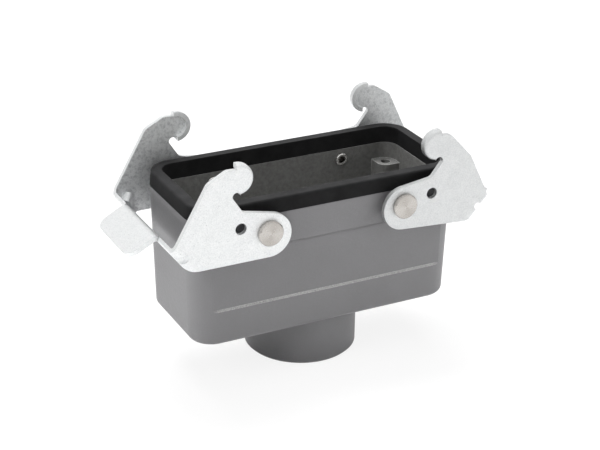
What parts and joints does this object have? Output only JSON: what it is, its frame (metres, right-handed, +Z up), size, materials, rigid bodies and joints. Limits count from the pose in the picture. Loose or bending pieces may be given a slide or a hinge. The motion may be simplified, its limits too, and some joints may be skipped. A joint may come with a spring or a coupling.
{
  "type": "heavy duty connector hood",
  "caption": "Die cast hood of a rectangular heavy duty connector, with a round threaded cable entry, a rim seal and a swinging locking lever at each end.",
  "frame": {"origin": "centre of the cable entry at the collar's lower face, on which the hood stands", "axes": "+Z up out of the mating opening, +X along the hood's length, +Y away from the face seen in the picture"},
  "size_m": [0.1304, 0.053, 0.0782],
  "materials": {
    "grey_powder_coat": "fine textured grey powder coat on die cast aluminium",
    "seal_rubber": "matt black nitrile rubber",
    "zinc_plate": "matt bright zinc plate, slightly mottled",
    "rivet_steel": "turned steel with fine ring marks"
  },
  "bodies": {
    "hood": {"hood_body": "grey_powder_coat", "profile_seal": "seal_rubber", "rivet_left_front": "rivet_steel", "rivet_left_back": "rivet_steel", "rivet_right_front": "rivet_steel", "rivet_right_back": "rivet_steel"},
    "left_lever": {"lever_left": "zinc_plate"},
    "right_lever": {"lever_right": "zinc_plate"}
  },
  "joints": [
    {"name": "left_lever_swing", "type": "hinge", "parent": "hood", "child": "left_lever", "pos_m": [-0.0236, 0, 0.0541], "axis": [0, 1, 0], "range_deg": [-9, 60]},
    {"name": "right_lever_swing", "type": "hinge", "parent": "hood", "child": "right_lever", "pos_m": [0.0236, 0, 0.0541], "axis": [0, -1, 0], "range_deg": [-5, 64]}
  ]
}
